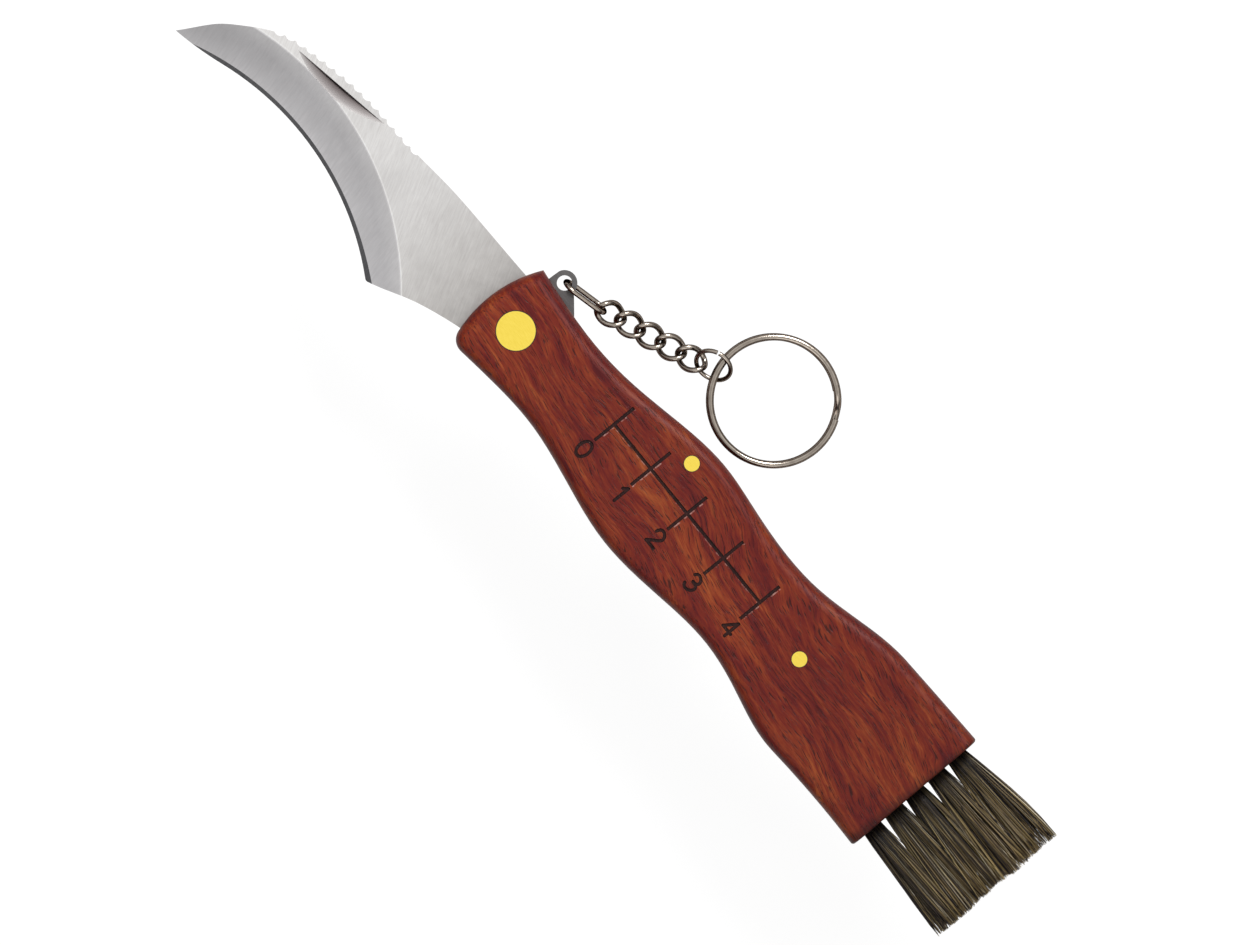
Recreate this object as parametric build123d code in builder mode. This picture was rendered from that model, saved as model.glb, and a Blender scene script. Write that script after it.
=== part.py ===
from build123d import *
import math
import os

os.makedirs("parts", exist_ok=True)

# Mushroom knife lying open on the back face of its handle, in millimetres.
# The origin is where the blade's pivot axis meets the back face.
# +X runs along the handle to the brush, +Y to the spine side, +Z up to the front face.

overrun = 30.0               # how far every cut runs past what it cuts

# Handle, one piece of wood
handle_length = 113.6        # head to brush face
pivot_setback = 7.6          # head to pivot axis
handle_depth = 28.6          # belly to spine across the brush end
handle_thickness = 13.0
mid_height = handle_thickness / 2
edge_round = 2.4             # round-over of the long edges
belly_nose_round = 2.8       # round corner of the head on the belly side
brush_end_round = 0.5
brush_tilt = 2.2             # degrees that the brush face leans
brush_row = 5.25             # height of the row of tufts over the pivot's line

spine_shares = [
    (0.019, 0.360), (0.102, 0.332), (0.164, 0.329), (0.243, 0.364), (0.349, 0.456), (0.428, 0.497),
    (0.507, 0.477), (0.595, 0.460), (0.666, 0.486), (0.745, 0.568), (0.789, 0.613), (0.833, 0.638),
]
belly_shares = [
    (0.020, -0.352), (0.102, -0.304), (0.190, -0.277), (0.296, -0.322), (0.401, -0.367), (0.507, -0.320),
    (0.622, -0.258), (0.701, -0.290), (0.771, -0.341), (0.815, -0.344),
]
head_share = (0.0, 0.017)
brush_spine_share = 0.675
brush_belly_share = -0.312

# Blade, and the slot for it
blade_thickness = 2.0
slot_side_clearance = 0.15
slot_width = blade_thickness + 2 * slot_side_clearance
blade_reach = 78.0           # pivot to tip
blade_drop = 15.5            # pivot's line to the heel
edge_radius = 53.5           # of the hollow cutting edge
grind_radius = 54.4          # of the line where the bevel starts
heel_round = 0.8
tang_radius = 6.0
bevel_width = 8.2            # from the grind line to the foot of the hollow grind
bevel_overrun = 3.2
bevel_half_thickness = 0.2   # half of the steel at the foot
bevel_mid_share = (0.4, 0.28)
edge_half_thickness = 0.05
last_bevel_rise = 0.2        # rise of the narrow last bevel along the edge, per length
last_bevel_width = 2.0

edge_center_share = (-0.636, -3.987)
grind_center_share = (-0.659, -3.510)
edge_heel_share = -0.297     # where the edge starts along the blade
edge_front_share = -0.878    # where the edge bends to the tip
tip_share = (-1.0, -0.935)
blade_spine_shares = [
    (-0.974, -0.690), (-0.949, -0.484), (-0.923, -0.342), (-0.872, -0.106), (-0.833, 0.020),
    (-0.769, 0.132), (-0.667, 0.255), (-0.564, 0.316), (-0.462, 0.342), (-0.359, 0.402), (-0.231, 0.442),
]
blade_belly_shares = [
    (-0.256, -0.877), (-0.205, -0.726), (-0.154, -0.606), (-0.090, -0.484), (-0.040, -0.412),
]
shoulder_height_share = 0.484

# Saw teeth along the spine of the blade
tooth_count = 16
tooth_depth = 0.45
tooth_radius = 1.2
tooth_start_share = 0.225    # along the spine from the tip
tooth_end_share = 0.610

# Nail nick in the front of the blade, cut by a leaning wheel
nick_length = 19.8
nick_depth = 0.55
nick_fade = 2.3              # from its wall to where it runs out
nick_place_share = (-0.671, 0.135)
nick_slope = 11.3            # degrees

# Pivot, a two-part rivet
rivet_head_diameter = 7.0
rivet_head_thickness = 1.6
rivet_barrel_diameter = 4.4
rivet_stud_diameter = 2.6
rivet_stud_length = 8.8
rivet_end_gap = 0.1
seat_clearance = 0.02        # fixed pins and rivets in their holes
running_clearance = 0.05     # turning pieces on their pins

# Lock bar, with the eyelet for the chain
bar_pin_place = (37.0, 9.9)
pin_diameter = 2.8
bar_boss_radius = 3.3
bar_tang_gap = 0.15
bar_nose_radius = 40.75      # of its front face, round its pin
bar_shoulder_gap = 0.2
bar_reach = 57.0             # pivot axis to the end of its tail
bar_rise = 13.3              # its top over the pivot's line
eyelet_place = (-1.5, 11.85)
eyelet_bore_diameter = 2.7
eyelet_radius = 2.25

bar_outline_shares = [
    (-0.080, 0.891), (-0.080, 0.339), (0.060, 0.462), (0.167, 0.466), (0.242, 0.511), (0.318, 0.579),
    (0.395, 0.684), (0.446, 0.771), (0.477, 0.782), (0.553, 0.556), (0.605, 0.510), (0.700, 0.530),
    (0.772, 0.564), (1.0, 0.474), (1.0, 0.662), (0.772, 0.827), (0.737, 0.880), (0.684, 0.985),
    (0.640, 1.0), (0.561, 0.966), (0.456, 0.855), (0.351, 0.767), (0.193, 0.692), (0.084, 0.684),
    (0.029, 0.865), (0.0, 0.950),
]

# Leaf spring under the bar's tail
spring_pin_place = (75.3, 3.7)
spring_boss_radius = 2.4
leaf_thickness = 1.1
leaf_reach = 20.8            # from its pin
leaf_gap = 0.06              # under the bar's tail
heel_width = 3.0
heel_gap = 0.05              # under the roof of the slot

# Slot: its roof, from where the spine side is open to the tip of the folded blade
roof_shares = [(0.754, 0.930), (1.018, 0.707), (1.395, 0.526)]
slot_end_gap = 2.0           # past the tip of the folded blade
slot_belly_slant = 2.5

# Scale on the front face
scale_place = (23.3, 3.5)    # its zero
scale_slope = 1.2            # degrees
scale_step = 10.0
scale_marks = 5
mark_length = 8.9
groove_width = 0.6
groove_depth = 0.3
digit_height = 3.2
digit_width = 2.1
digit_drop = 6.8             # centre of the digits below the scale's line
digit_strokes = [            # digit, curved or not, and places across and up it
    (1, False, [(0.30, 0.78), (0.62, 1)]),
    (1, False, [(0.62, 1), (0.62, 0)]),
    (2, True, [(0.04, 0.74), (0.5, 1), (0.93, 0.72), (0.6, 0.38), (0.03, 0)]),
    (2, False, [(0.03, 0), (0.97, 0)]),
    (3, True, [(0.08, 0.85), (0.5, 1), (0.88, 0.77), (0.42, 0.54)]),
    (3, True, [(0.42, 0.54), (0.97, 0.27), (0.5, 0), (0.03, 0.17)]),
    (4, False, [(0.78, 0), (0.78, 1)]),
    (4, False, [(0.78, 1), (0.03, 0.3)]),
    (4, False, [(0.03, 0.3), (1, 0.3)]),
]

# Brush
tuft_count = 5
tuft_pitch = 4.8
tuft_spread = 0.25           # more at the tips, from tuft to tuft
tuft_hole_diameter = 3.8
tuft_hole_depth = 11.0
tuft_clearance = 0.1
tuft_root_radius = 1.62      # of the outermost strands
tuft_free_length = 21.6
tuft_strands = 80
tuft_half_width = 2.36       # at the tips, along the row
tuft_half_thickness = 2.9    # at the tips, front to back
plug_setback = 1.0           # end of the bound part below the brush face
strand_root_width = 0.2
strand_tip_width = 0.15
tip_waviness = 0.35
golden_angle = 137.508
anchor_thickness = 0.4
anchor_height = 1.5
anchor_length = 3.5
anchor_gap = 0.05

# Chain
curb_wire = 1.0
curb_length = 6.3
curb_width = 4.9
curb_twist = 45.0            # degrees that each bow leans
curb_arcs = 4                # pairs of arcs in half a link
connector_wire = 0.9
connector_length = 9.6
connector_width = 4.7
jump_wire = 0.8
jump_diameter = 7.25
jump_opening = 6.0           # degrees
jump_seam = 100.0
ring_wire = 1.3
ring_diameter = 23.7
ring_coil_gap = 0.44
ring_step_angle = 26.0       # degrees of its climb from turn to turn
ring_step_place = 27.0       # degrees, from the chain's line
gap_samples = 720

# Where each piece of the chain lies: centre, then degrees of heading, fall and roll
connector_lie = ((2.61, 13.18, 5.68), 15.5, 17.0, 105.1)
curb_lies = [
    ((7.66, 14.96, 3.51), 29.0, 18.0, 0.0),
    ((11.21, 16.50, 2.41), 22.8, 13.0, 0.0),
    ((14.93, 18.01, 1.59), 22.0, 6.0, 0.0),
    ((18.72, 19.61, 1.28), 23.0, 0.0, 0.0),
    ((22.52, 21.21, 1.28), 22.0, 0.0, 0.0),
]
jump_lie = ((25.82, 23.53, 2.73), 21.0, 0.0, 45.7)
ring_place = (37.09, 28.00)
ring_heading = 21.0
ring_tilt = 3.2


def handle_point(share):
    return (share[0] * handle_length - pivot_setback, share[1] * handle_depth)


def blade_point(share):
    return (share[0] * blade_reach, share[1] * blade_drop)


def bar_point(share):
    return (share[0] * bar_reach, share[1] * bar_rise)


def save(part, name):
    part.label = name
    export_step(part, f"parts/{name}.step")


def lying_plane(center, heading, fall, roll):
    """A plane whose x axis is the link's length, fallen and rolled as it lies."""
    lie = Location(center) * Rotation(0, 0, heading) * Rotation(0, fall, 0) * Rotation(roll, 0, 0)
    return Plane(lie)


def arc_pair(start, start_tangent, end, end_tangent):
    """Two arcs that meet smoothly and join two points with given directions."""
    chord = end - start
    bend = 2 * (1 - start_tangent.dot(end_tangent))
    pull = 2 * chord.dot(start_tangent + end_tangent)
    if bend < 1e-9:
        reach = chord.dot(chord) / pull
    else:
        reach = (math.sqrt(pull**2 / 4 + bend * chord.dot(chord)) - pull / 2) / bend
    meeting = (start + start_tangent * reach + end - end_tangent * reach) * 0.5
    first = TangentArc(start, meeting, tangent=start_tangent)
    TangentArc(meeting, end, tangent=first % 1)


# Handle

brush_plane = Plane(
    origin=(handle_length - pivot_setback, brush_row, mid_height),
    x_dir=Vector(0, 1, 0).rotate(Axis.Z, brush_tilt),
    z_dir=Vector(1, 0, 0).rotate(Axis.Z, brush_tilt),
)


def brush_corner(depth_share):
    height = depth_share * handle_depth
    lean = (height - brush_row) * math.tan(math.radians(brush_tilt))
    return (handle_length - pivot_setback - lean, height)


spine_points = [handle_point(share) for share in spine_shares]
belly_points = [handle_point(share) for share in belly_shares]
brush_top = brush_corner(brush_spine_share)
brush_bottom = brush_corner(brush_belly_share)
folded_reach = math.hypot(*blade_point(tip_share))
slot_end = folded_reach + slot_end_gap
roof_points = [bar_point(share) for share in roof_shares]

with BuildPart() as handle:
    with BuildSketch() as handle_outline:
        with BuildLine():
            spine_line = Spline(*spine_points)
            TangentArc(spine_line @ 1, brush_top, tangent=spine_line % 1)
            Line(brush_top, brush_bottom)
            belly_line = Spline(*belly_points)
            TangentArc(belly_line @ 1, brush_bottom, tangent=belly_line % 1)
            ThreePointArc(spine_points[0], handle_point(head_share), belly_points[0])
        make_face()
        nose = handle_outline.vertices().sort_by_distance(Vertex(*belly_points[0]))[0]
        fillet(nose, belly_nose_round)
    extrude(amount=handle_thickness)
    end_face = handle.faces().sort_by_distance(brush_plane.origin)[0]
    broad_edges = handle.faces().filter_by(Axis.Z).edges()
    end_edges = end_face.edges()
    long_edges = [edge for edge in broad_edges if not any(edge.is_same(other) for other in end_edges)]
    fillet(long_edges, edge_round)
    end_face = handle.faces().sort_by_distance(brush_plane.origin)[0]
    fillet(end_face.edges(), brush_end_round)

    # Slot for the blade, the lock bar and its spring
    with BuildSketch(Plane.XY.offset(mid_height - slot_width / 2)):
        with BuildLine():
            Polyline(
                (-overrun, -overrun),
                (slot_end + slot_belly_slant, -overrun),
                (slot_end + slot_belly_slant, -blade_drop / 2),
                (slot_end, roof_points[2][1]),
                roof_points[2],
                roof_points[1],
                roof_points[0],
                (roof_points[0][0], overrun),
                (-overrun, overrun),
                close=True,
            )
        make_face()
    extrude(amount=slot_width, mode=Mode.SUBTRACT)

    # Pivot hole with a seat for each rivet head
    with BuildSketch(Plane.XY):
        Circle(rivet_barrel_diameter / 2 + seat_clearance)
    extrude(amount=handle_thickness, mode=Mode.SUBTRACT)
    for seat_plane in (Plane.XY, Plane.XY.offset(handle_thickness - rivet_head_thickness)):
        with BuildSketch(seat_plane):
            Circle(rivet_head_diameter / 2 + seat_clearance)
        extrude(amount=rivet_head_thickness, mode=Mode.SUBTRACT)
    with BuildSketch(Plane.XY):
        with Locations(bar_pin_place, spring_pin_place):
            Circle(pin_diameter / 2 + seat_clearance)
    extrude(amount=handle_thickness, mode=Mode.SUBTRACT)

    # Blind holes for the tufts
    with BuildSketch(brush_plane):
        with GridLocations(tuft_pitch, 0, tuft_count, 1):
            Circle(tuft_hole_diameter / 2)
    extrude(amount=-tuft_hole_depth, mode=Mode.SUBTRACT)

    # Burnt scale
    scale_plane = Plane(
        origin=(*scale_place, handle_thickness),
        x_dir=Vector(1, 0, 0).rotate(Axis.Z, scale_slope),
        z_dir=(0, 0, 1),
    )
    scale_length = (scale_marks - 1) * scale_step
    with BuildSketch(scale_plane):
        with Locations((scale_length / 2, 0)):
            Rectangle(scale_length + groove_width, groove_width)
        for number in range(scale_marks):
            with Locations((number * scale_step, 0)):
                Rectangle(groove_width, mark_length)
    extrude(amount=-groove_depth, mode=Mode.SUBTRACT)

    def digit_point(number, across, up):
        x = number * scale_step + (across - 0.5) * digit_width
        return (x, (up - 0.5) * digit_height - digit_drop)

    with BuildSketch(scale_plane):
        with Locations(digit_point(0, 0.5, 0.5)):
            Ellipse((digit_width + groove_width) / 2, (digit_height + groove_width) / 2)
            Ellipse((digit_width - groove_width) / 2, (digit_height - groove_width) / 2, mode=Mode.SUBTRACT)
    extrude(amount=-groove_depth, mode=Mode.SUBTRACT)
    for number, curved, places in digit_strokes:
        with BuildSketch(scale_plane):
            with BuildLine():
                stroke = [digit_point(number, *place) for place in places]
                if curved:
                    Spline(*stroke)
                else:
                    Line(*stroke)
            trace(line_width=groove_width)
            with Locations(*stroke[:1], *stroke[-1:]):
                Circle(groove_width / 2)
        extrude(amount=-groove_depth, mode=Mode.SUBTRACT)

save(handle.part, "handle")
print("handle", round(handle.part.volume, 1), handle.part.is_valid, len(handle.solids()))

# Blade

edge_center = blade_point(edge_center_share)
grind_center = blade_point(grind_center_share)


def edge_point(share):
    across = share * blade_reach - edge_center[0]
    return (share * blade_reach, edge_center[1] + math.sqrt(edge_radius**2 - across**2))


heel_point = edge_point(edge_heel_share)
edge_front_point = edge_point(edge_front_share)
tip_point = blade_point(tip_share)
shoulder_x = bar_pin_place[0] - bar_nose_radius - bar_shoulder_gap
shoulder_point = (shoulder_x, shoulder_height_share * blade_drop)
shoulder_foot = (shoulder_x, math.sqrt(tang_radius**2 - shoulder_x**2))
blade_belly_points = [blade_point(share) for share in blade_belly_shares]

with BuildPart() as blade:
    with BuildSketch(Plane.XY.offset(mid_height - blade_thickness / 2)) as blade_outline:
        with BuildLine():
            edge_arc = RadiusArc(heel_point, edge_front_point, -edge_radius)
            TangentArc(edge_front_point, tip_point, tangent=edge_arc % 1)
            back_line = Spline(
                tip_point, *[blade_point(share) for share in blade_spine_shares], shoulder_point
            )
            Polyline(shoulder_point, shoulder_foot, (0, 0), (0, -tang_radius))
            Spline((0, -tang_radius), *reversed(blade_belly_points), heel_point)
        make_face()
        Circle(tang_radius)
        heel_corner = blade_outline.vertices().sort_by_distance(Vertex(*heel_point))[0]
        fillet(heel_corner, heel_round)
        for number in range(tooth_count):
            along = tooth_start_share + (tooth_end_share - tooth_start_share) * number / (tooth_count - 1)
            outward = (back_line % along).rotate(Axis.Z, 90)
            with Locations(back_line @ along + outward * (tooth_radius - tooth_depth)):
                Circle(tooth_radius, mode=Mode.SUBTRACT)
        Circle(rivet_barrel_diameter / 2 + running_clearance, mode=Mode.SUBTRACT)
    extrude(amount=blade_thickness)

    # Hollow grind on both sides
    with BuildSketch(Plane(origin=(*grind_center, mid_height), x_dir=(0, 1, 0), z_dir=(1, 0, 0))):
        with BuildLine():
            half = blade_thickness / 2
            hollow = ThreePointArc(
                (grind_radius, half),
                (
                    grind_radius - bevel_mid_share[0] * bevel_width,
                    bevel_half_thickness + bevel_mid_share[1] * (half - bevel_half_thickness),
                ),
                (grind_radius - bevel_width, bevel_half_thickness),
            )
            Polyline(
                hollow @ 1,
                (grind_radius - bevel_width - bevel_overrun, bevel_half_thickness),
                (grind_radius - bevel_width - bevel_overrun, blade_thickness),
                (grind_radius, blade_thickness),
                hollow @ 0,
            )
        make_face()
        mirror(about=Plane.XZ)
    revolve(axis=Axis((*grind_center, 0), (0, 0, 1)), mode=Mode.SUBTRACT)

    # Narrow last bevel along the edge
    with BuildSketch(Plane(origin=(*edge_center, mid_height), x_dir=(0, 1, 0), z_dir=(1, 0, 0))):
        with BuildLine():
            Polyline(
                (edge_radius - last_bevel_width, edge_half_thickness),
                (edge_radius, edge_half_thickness),
                (edge_radius + last_bevel_width, edge_half_thickness + last_bevel_rise * last_bevel_width),
                (edge_radius + last_bevel_width, blade_thickness),
                (edge_radius - last_bevel_width, blade_thickness),
                close=True,
            )
        make_face()
        mirror(about=Plane.XZ)
    revolve(axis=Axis((*edge_center, 0), (0, 0, 1)), mode=Mode.SUBTRACT)

    # Nail nick
    nick_lean = math.atan2(nick_depth, nick_fade)
    nick_wheel_radius = nick_length**2 * math.cos(nick_lean) / (8 * nick_depth)
    nick_along = Vector(1, 0, 0).rotate(Axis.Z, nick_slope)
    nick_down = Vector(0, -1, 0).rotate(Axis.Z, nick_slope)
    wheel_axis = nick_down * math.cos(nick_lean) + Vector(0, 0, 1) * math.sin(nick_lean)
    wheel_out = Vector(0, 0, 1) * math.cos(nick_lean) - nick_down * math.sin(nick_lean)
    nick_bottom = Vector(*blade_point(nick_place_share), mid_height + blade_thickness / 2 - nick_depth)
    wheel_center = nick_bottom + wheel_out * nick_wheel_radius
    with BuildSketch(Plane(origin=wheel_center, x_dir=nick_along, z_dir=wheel_axis)):
        Circle(nick_wheel_radius)
    extrude(amount=nick_fade * 2, mode=Mode.SUBTRACT)

save(blade.part, "blade")
print("blade", round(blade.part.volume, 1), blade.part.is_valid, len(blade.solids()))

# Pivot rivet and the two plain pins

barrel_foot = rivet_head_thickness + rivet_end_gap
stud_top = rivet_head_thickness + rivet_stud_length

with BuildPart() as pivot_rivet_tube:
    with BuildSketch(Plane.XY.offset(handle_thickness - rivet_head_thickness)):
        Circle(rivet_head_diameter / 2)
    extrude(amount=rivet_head_thickness)
    with BuildSketch(Plane.XY.offset(barrel_foot)):
        Circle(rivet_barrel_diameter / 2)
    extrude(amount=handle_thickness - rivet_head_thickness - barrel_foot)
    with BuildSketch(Plane.XY.offset(barrel_foot)):
        Circle(rivet_stud_diameter / 2 + seat_clearance)
    extrude(amount=stud_top + rivet_end_gap - barrel_foot, mode=Mode.SUBTRACT)

with BuildPart() as pivot_rivet_stud:
    with BuildSketch(Plane.XY):
        Circle(rivet_head_diameter / 2)
    extrude(amount=rivet_head_thickness)
    with BuildSketch(Plane.XY.offset(rivet_head_thickness)):
        Circle(rivet_stud_diameter / 2)
    extrude(amount=rivet_stud_length)

with BuildPart() as lock_bar_pin:
    with BuildSketch(Plane.XY):
        with Locations(bar_pin_place):
            Circle(pin_diameter / 2)
    extrude(amount=handle_thickness)

with BuildPart() as spring_pin:
    with BuildSketch(Plane.XY):
        with Locations(spring_pin_place):
            Circle(pin_diameter / 2)
    extrude(amount=handle_thickness)

save(pivot_rivet_tube.part, "pivot_rivet_tube")
save(pivot_rivet_stud.part, "pivot_rivet_stud")
save(lock_bar_pin.part, "lock_bar_pin")
save(spring_pin.part, "spring_pin")

# Lock bar

bar_points = [bar_point(share) for share in bar_outline_shares]

with BuildPart() as lock_bar:
    with BuildSketch(Plane.XY.offset(mid_height - blade_thickness / 2)):
        with BuildLine():
            Polyline(*bar_points, close=True)
        make_face()
        with Locations(bar_pin_place):
            Circle(bar_boss_radius)
        Circle(tang_radius + bar_tang_gap, mode=Mode.SUBTRACT)
        with Locations(eyelet_place):
            Circle(eyelet_radius)
            Circle(eyelet_bore_diameter / 2, mode=Mode.SUBTRACT)
        with Locations(bar_pin_place):
            Circle(pin_diameter / 2 + running_clearance, mode=Mode.SUBTRACT)
            Circle(bar_nose_radius, mode=Mode.INTERSECT)
    extrude(amount=blade_thickness)

save(lock_bar.part, "lock_bar")
print("lock_bar", round(lock_bar.part.volume, 1), lock_bar.part.is_valid, len(lock_bar.solids()))

# Bar spring

tail_foot, tail_end = bar_points[12], bar_points[13]
leaf_tip_x = spring_pin_place[0] - leaf_reach
tail_slope = (tail_end[1] - tail_foot[1]) / (tail_end[0] - tail_foot[0])
leaf_tip_y = tail_foot[1] + tail_slope * (leaf_tip_x - tail_foot[0]) - leaf_gap
roof_slope = (roof_points[2][1] - roof_points[1][1]) / (roof_points[2][0] - roof_points[1][0])
heel_right = spring_pin_place[0] + heel_width / 2
heel_top = roof_points[1][1] + roof_slope * (heel_right - roof_points[1][0]) - heel_gap

with BuildPart() as bar_spring:
    with BuildSketch(Plane.XY.offset(mid_height - blade_thickness / 2)):
        with BuildLine():
            Polyline(
                (leaf_tip_x, leaf_tip_y),
                (leaf_tip_x, leaf_tip_y - leaf_thickness),
                (spring_pin_place[0], spring_pin_place[1] - leaf_thickness),
                (spring_pin_place[0], spring_pin_place[1] + leaf_thickness),
                close=True,
            )
        make_face()
        with Locations(spring_pin_place):
            Circle(spring_boss_radius)
        with Locations((spring_pin_place[0], (spring_pin_place[1] + heel_top) / 2)):
            Rectangle(heel_width, heel_top - spring_pin_place[1])
        with Locations(spring_pin_place):
            Circle(pin_diameter / 2 + seat_clearance, mode=Mode.SUBTRACT)
    extrude(amount=blade_thickness)

save(bar_spring.part, "bar_spring")
print("bar_spring", round(bar_spring.part.volume, 1), bar_spring.part.is_valid, len(bar_spring.solids()))

# Tufts, and the flat wires that hold them in their holes

plug_foot = anchor_gap - tuft_hole_depth
plug_length = tuft_hole_depth - anchor_gap - plug_setback


def strand(root, tip):
    """One bristle of four sides, in the brush plane's own frame."""
    ends = []
    for center, width in ((root, strand_root_width), (tip, strand_tip_width)):
        place = brush_plane.offset(center[2]).location * Pos(center[0], center[1])
        ends.append(place * Rectangle(width, width))
    return loft(ends)


for number in range(tuft_count):
    row_place = (number - (tuft_count - 1) / 2) * tuft_pitch
    tip_place = row_place + (number - (tuft_count - 1) / 2) * tuft_spread
    strands = []
    for count in range(tuft_strands):
        reach = tuft_root_radius * math.sqrt((count + 0.5) / tuft_strands)
        turn = math.radians(golden_angle) * count
        across, up = reach * math.cos(turn), reach * math.sin(turn)
        tip_across = across * tuft_half_width / tuft_root_radius
        tip_up = up * tuft_half_thickness / tuft_root_radius
        uneven = tip_waviness * math.sin(golden_angle * (count + number))
        root = (row_place + across, up, -plug_setback - strand_root_width)
        tip = (tip_place + tip_across, tip_up, tuft_free_length + uneven)
        strands.append(strand(root, tip))
    with BuildPart() as tuft:
        with BuildSketch(brush_plane.offset(plug_foot)):
            with Locations((row_place, 0)):
                Circle(tuft_hole_diameter / 2 - tuft_clearance)
        extrude(amount=plug_length)
        with BuildSketch(brush_plane.offset(plug_foot)):
            with Locations((row_place, 0)):
                Rectangle(overrun, anchor_thickness + 2 * anchor_gap)
        extrude(amount=anchor_height + anchor_gap, mode=Mode.SUBTRACT)
        add(strands)
    save(tuft.part, f"tuft_{number + 1}")
    print("tuft", number + 1, round(tuft.part.volume, 2), tuft.part.is_valid, len(tuft.solids()))

with BuildPart() as tuft_anchors:
    with BuildSketch(brush_plane.offset(plug_foot)):
        with GridLocations(tuft_pitch, 0, tuft_count, 1):
            Rectangle(anchor_length, anchor_thickness)
    extrude(amount=anchor_height)

save(tuft_anchors.part, "tuft_anchors")

# Connecting link

connector_bow = (connector_width - connector_wire) / 2
connector_side = (connector_length - connector_width) / 2
connector_plane = lying_plane(*connector_lie)

with BuildPart() as connecting_link:
    with BuildLine(connector_plane) as connector_path:
        Line((0, connector_bow), (connector_side, connector_bow))
        ThreePointArc(
            (connector_side, connector_bow),
            (connector_side + connector_bow, 0),
            (connector_side, -connector_bow),
        )
        Line((connector_side, -connector_bow), (0, -connector_bow))
    with BuildSketch(Plane(origin=connector_path.line @ 0, z_dir=connector_path.line % 0)):
        Circle(connector_wire / 2)
    sweep(path=connector_path.line)
    mirror(about=Plane(origin=connector_plane.origin, z_dir=connector_plane.x_dir))

save(connecting_link.part, "connecting_link")
print("connecting_link", round(connecting_link.part.volume, 2), connecting_link.part.is_valid)

# Curb links, all bent alike

curb_reach = (curb_length - curb_wire) / 2
curb_spread = (curb_width - curb_wire) / 2


def curb_point(turn):
    lean = math.radians(-curb_twist) * math.cos(turn)
    return Vector(
        curb_reach * math.cos(turn),
        curb_spread * math.sin(turn) * math.cos(lean),
        curb_spread * math.sin(turn) * math.sin(lean),
    )


def curb_heading(turn):
    step = 1e-5
    return (curb_point(turn + step) - curb_point(turn - step)).normalized()


with BuildPart() as curb_link:
    with BuildLine() as curb_path:
        for number in range(curb_arcs):
            start, end = math.pi * number / curb_arcs, math.pi * (number + 1) / curb_arcs
            arc_pair(curb_point(start), curb_heading(start), curb_point(end), curb_heading(end))
    with BuildSketch(Plane(origin=curb_point(0), z_dir=curb_heading(0))):
        Circle(curb_wire / 2)
    half_link = sweep(path=curb_path.line)
    add(half_link.rotate(Axis.X, 180))

for number, lie in enumerate(curb_lies, start=1):
    save(lying_plane(*lie).location * curb_link.part, f"curb_link_{number}")
print("curb_link", round(curb_link.part.volume, 2), curb_link.part.is_valid, len(curb_link.solids()))

# Jump ring, cut open at its seam

jump_radius = (jump_diameter - jump_wire) / 2

with BuildPart() as open_ring:
    with BuildSketch(Plane.XZ.rotated((0, 0, jump_seam))):
        with Locations((jump_radius, 0)):
            Circle(jump_wire / 2)
    revolve(axis=Axis.Z, revolution_arc=360 - jump_opening)

jump_ring = lying_plane(*jump_lie).location * open_ring.part
save(jump_ring, "jump_ring")
print("jump_ring", round(jump_ring.volume, 2), jump_ring.is_valid, jump_ring.bounding_box())

# Split ring, one wire coiled twice round, with a step from turn to turn

coil_radius = (ring_diameter - ring_wire) / 2
coil_rise = ring_wire + ring_coil_gap
step_start = math.radians(ring_step_place - ring_step_angle / 2)
step_end = math.radians(ring_step_place + ring_step_angle / 2)


def coil_point(turn, height):
    return Vector(coil_radius * math.cos(turn), coil_radius * math.sin(turn), height)


def coil_heading(turn):
    return Vector(-math.sin(turn), math.cos(turn), 0)


lower, upper = ring_wire / 2, ring_wire / 2 + coil_rise
far_turn = (step_start + step_end) / 2 + math.pi



def coil_turn(height):
    ThreePointArc(coil_point(step_end, height), coil_point(far_turn, height), coil_point(step_start, height))


with BuildPart() as coil:
    with BuildLine() as coil_path:
        coil_turn(lower)
        arc_pair(
            coil_point(step_start, lower), coil_heading(step_start),
            coil_point(step_end, upper), coil_heading(step_end),
        )
        coil_turn(upper)
    with BuildSketch(Plane(origin=coil_path.line @ 0, z_dir=coil_path.line % 0)):
        Circle(ring_wire / 2)
    sweep(path=coil_path.line)

coil_samples = [coil_path.line @ (number / gap_samples) for number in range(gap_samples + 1)]
turn_samples = gap_samples // 4
least_gap = min(
    (coil_samples[first] - coil_samples[second]).length - ring_wire
    for first in range(gap_samples + 1)
    for second in range(first + turn_samples, gap_samples + 1)
)
print("least gap of the split ring's wire to itself", round(least_gap, 3))

heading = math.radians(ring_heading)
tilt = math.radians(ring_tilt)
ring_plane = Plane(
    origin=(
        ring_place[0] + coil_radius * math.cos(heading) * (1 - math.cos(tilt)),
        ring_place[1] + coil_radius * math.sin(heading) * (1 - math.cos(tilt)),
        coil_radius * math.sin(tilt),
    ),
    x_dir=(math.cos(heading) * math.cos(tilt), math.sin(heading) * math.cos(tilt), -math.sin(tilt)),
    z_dir=(math.cos(heading) * math.sin(tilt), math.sin(heading) * math.sin(tilt), math.cos(tilt)),
)
split_ring = ring_plane.location * coil.part
save(split_ring, "split_ring")
print("split_ring", round(split_ring.volume, 2), split_ring.is_valid, split_ring.bounding_box())
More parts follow.
